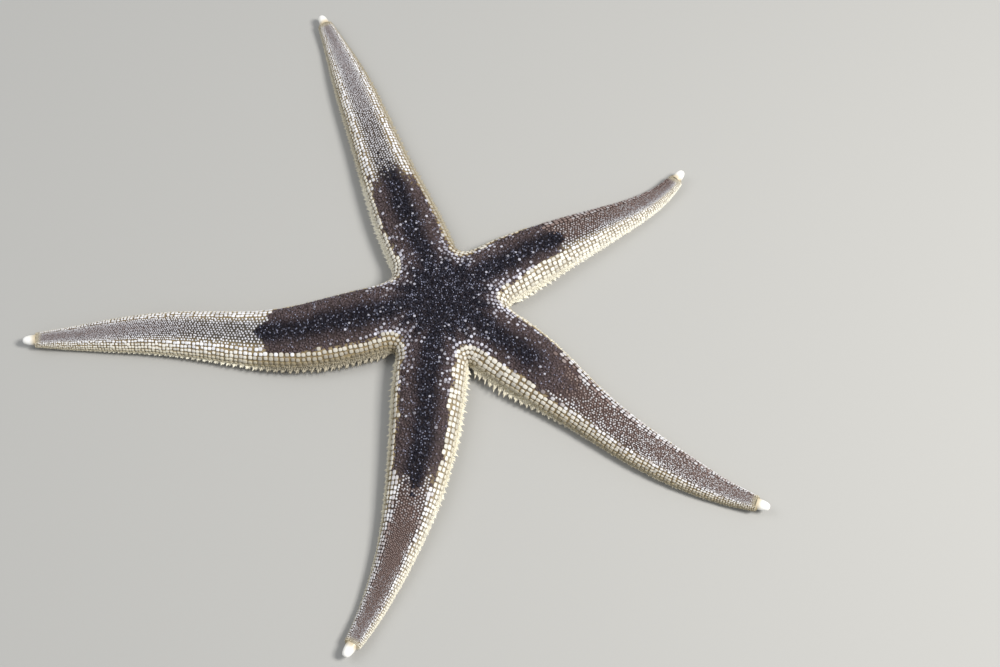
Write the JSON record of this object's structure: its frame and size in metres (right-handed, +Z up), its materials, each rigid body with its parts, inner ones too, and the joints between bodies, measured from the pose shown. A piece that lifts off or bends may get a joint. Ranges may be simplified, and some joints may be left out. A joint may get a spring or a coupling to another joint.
{
  "type": "starfish",
  "caption": "Sand star, life size, lying on its underside: a small disc with long tapering arms, fringed with spines and ending in pale plates, as a still museum model.",
  "frame": {"origin": "the middle of the footprint's bounding box, on the surface that the starfish rests on; the mouth is about 17 mm to +X and 4 mm to -Y of it", "axes": "+Z is up, out of the back; the longest arm reaches towards -X and the next longest towards +Y, leaning to -X"},
  "size_m": [0.2242, 0.2266, 0.011],
  "materials": {
    "dark_skin": "damp, dark purple-brown skin set close with small paxillae",
    "pale_skin": "damp, pale grey to cream skin set close with paxillae, ochre between them",
    "calcite_plate": "smooth cream calcite: tip plates, spines and jaws"
  },
  "bodies": {
    "root": {"disc": "dark_skin", "mouth_jaws": "calcite_plate", "arm_left_inner": "dark_skin", "arm_left_outer": "pale_skin", "arm_left_tip": "calcite_plate", "arm_back_inner": "dark_skin", "arm_back_outer": "pale_skin", "arm_back_tip": "calcite_plate", "arm_right_back_inner": "dark_skin", "arm_right_back_outer": "pale_skin", "arm_right_back_tip": "calcite_plate", "arm_right_front_inner": "dark_skin", "arm_right_front_outer": "pale_skin", "arm_right_front_tip": "calcite_plate", "arm_front_inner": "dark_skin", "arm_front_outer": "pale_skin", "arm_front_tip": "calcite_plate"}
  },
  "joints": []
}
